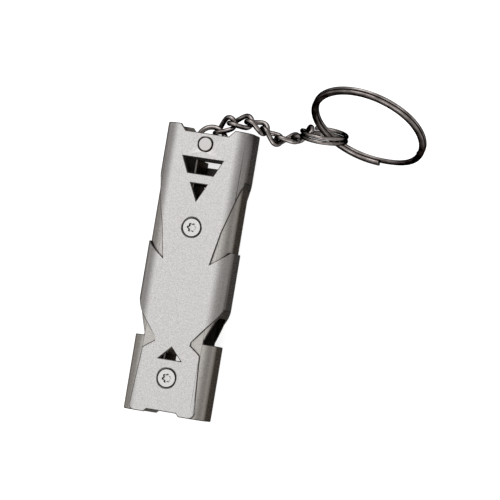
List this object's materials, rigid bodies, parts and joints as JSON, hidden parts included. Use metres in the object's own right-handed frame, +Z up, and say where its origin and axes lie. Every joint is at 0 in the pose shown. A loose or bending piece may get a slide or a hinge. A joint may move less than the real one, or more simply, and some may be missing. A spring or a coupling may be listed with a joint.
{
  "type": "referee whistle",
  "caption": "Flat steel whistle with twin sound channels, a pinned ring, a short curb chain, a small connector ring and a split key ring.",
  "frame": {"origin": "middle of the whistle's flat back face, on which it lies", "axes": "+Y along the whistle toward the chain end, +Z up out of its front face, +X to the right seen from the front"},
  "size_m": [0.0561, 0.0727, 0.0227],
  "materials": {
    "satin_steel": "satin",
    "insert": "plain, as cast",
    "screw_steel": "bright",
    "dark_nickel": "dark nickel plate on steel, glossy"
  },
  "bodies": {
    "whistle": {"outer_shell": "satin_steel", "inner_tube": "satin_steel", "divider_plate": "satin_steel", "left_mouth_block": "insert", "right_mouth_block": "insert", "left_end_plug": "insert", "right_end_plug": "insert", "front_upper_screw": "screw_steel", "front_lower_screw": "screw_steel", "back_upper_screw": "screw_steel", "back_lower_screw": "screw_steel", "chain_pin": "satin_steel"},
    "pin_ring": {"pin_ring": "dark_nickel"},
    "chain_link_1": {"chain_link_1": "dark_nickel"},
    "chain_link_2": {"chain_link_2": "dark_nickel"},
    "chain_link_3": {"chain_link_3": "dark_nickel"},
    "chain_link_4": {"chain_link_4": "dark_nickel"},
    "chain_link_5": {"chain_link_5": "dark_nickel"},
    "chain_link_6": {"chain_link_6": "dark_nickel"},
    "connector_ring": {"connector_ring": "dark_nickel"},
    "key_ring": {"key_ring": "dark_nickel"}
  },
  "joints": [
    {"name": "pin_ring_swing", "type": "hinge", "parent": "whistle", "child": "pin_ring", "pos_m": [0, 0.0268, 0.0057], "axis": [0, 0, 1], "range_deg": [-4, 55]},
    {"name": "chain_link_1_swing", "type": "hinge", "parent": "pin_ring", "child": "chain_link_1", "pos_m": [0.00029, 0.0297, 0.00561], "axis": [-0.0172, -0.073, 0.9972], "range_deg": [0, 65]},
    {"name": "chain_link_2_swing", "type": "hinge", "parent": "chain_link_1", "child": "chain_link_2", "pos_m": [0.00303, 0.03221, 0.00602], "axis": [-0.0571, -0.0654, -0.9962], "range_deg": [-50, 0]},
    {"name": "chain_link_3_swing", "type": "hinge", "parent": "chain_link_2", "child": "chain_link_3", "pos_m": [0.00778, 0.03336, 0.00567], "axis": [0.242, -0.9649, 0.102], "range_deg": [-25, 35]},
    {"name": "chain_link_4_swing", "type": "hinge", "parent": "chain_link_3", "child": "chain_link_4", "pos_m": [0.00986, 0.03231, 0.00434], "axis": [0.4146, 0.3023, 0.8583], "range_deg": [-4, 65]},
    {"name": "chain_link_5_swing", "type": "hinge", "parent": "chain_link_4", "child": "chain_link_5", "pos_m": [0.01401, 0.03001, 0.00314], "axis": [0.3076, 0.8122, -0.4956], "range_deg": [-60, 20]},
    {"name": "chain_link_6_swing", "type": "hinge", "parent": "chain_link_5", "child": "chain_link_6", "pos_m": [0.01663, 0.031, 0.00172], "axis": [-0.559, 0.2994, 0.7732], "range_deg": [-4, 65]},
    {"name": "connector_ring_swing", "type": "hinge", "parent": "chain_link_6", "child": "connector_ring", "pos_m": [0.01926, 0.03333, 0.00326], "axis": [-0.4264, -0.2228, 0.8767], "range_deg": [-20, 35]},
    {"name": "key_ring_swing", "type": "hinge", "parent": "connector_ring", "child": "key_ring", "pos_m": [0.02703, 0.03129, 0.00255], "axis": [0.7984, -0.3853, -0.4627], "range_deg": [-70, 35]}
  ]
}
